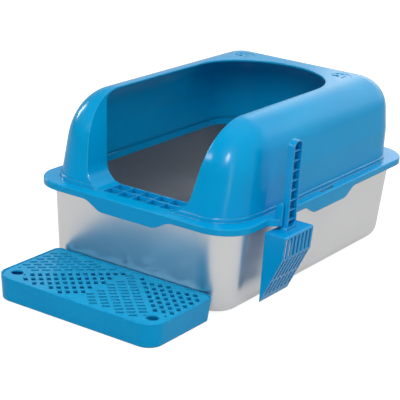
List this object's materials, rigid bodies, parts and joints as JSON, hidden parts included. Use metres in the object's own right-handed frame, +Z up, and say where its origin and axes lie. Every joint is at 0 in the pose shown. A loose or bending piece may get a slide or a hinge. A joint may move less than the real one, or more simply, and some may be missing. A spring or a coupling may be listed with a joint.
{
  "type": "open-top litter box",
  "caption": "Open-top litter box: a steel pan, a high clip-on hood with a front entry, a scoop hanging in a side clip, and a loose step with a lift-out grid.",
  "frame": {"origin": "on the floor under the middle of the assembly's bounding box, with the scoop in its clip and the step against the pan", "axes": "+Z up; +Y from the entry and its step to the back; +X towards the side that carries the scoop"},
  "size_m": [0.4413, 0.7395, 0.303],
  "materials": {
    "hood_plastic": "satin-gloss moulded plastic, cyan blue",
    "scoop_plastic": "gloss moulded plastic, cyan blue",
    "step_plastic": "satin-gloss moulded plastic, cyan blue",
    "grid_plastic": "satin-gloss moulded plastic, cyan blue",
    "steel": "satin stainless sheet",
    "rubber": "soft dark grey rubber"
  },
  "bodies": {
    "pan": {"litter_pan": "steel", "pan_foot_front_left": "rubber", "pan_foot_front_right": "rubber", "pan_foot_rear_left": "rubber", "pan_foot_rear_right": "rubber"},
    "hood": {"hood": "hood_plastic"},
    "scoop": {"scoop": "scoop_plastic"},
    "step": {"step_tray": "step_plastic", "step_foot_front_left": "rubber", "step_foot_front_right": "rubber", "step_foot_rear_left": "rubber", "step_foot_rear_right": "rubber"},
    "grid": {"step_grid": "grid_plastic"}
  },
  "joints": [
    {"name": "hood_lift", "type": "slide", "parent": "pan", "child": "hood", "axis": [0, 0, 1], "range_m": [0, 0.12]},
    {"name": "scoop_pull", "type": "slide", "parent": "hood", "child": "scoop", "axis": [1, 0, 0], "range_m": [0, 0.06]},
    {"name": "step_pull", "type": "slide", "parent": "pan", "child": "step", "axis": [0, -1, 0], "range_m": [0, 0.15]},
    {"name": "grid_lift", "type": "slide", "parent": "step", "child": "grid", "axis": [0, 0, 1], "range_m": [0, 0.05]}
  ]
}
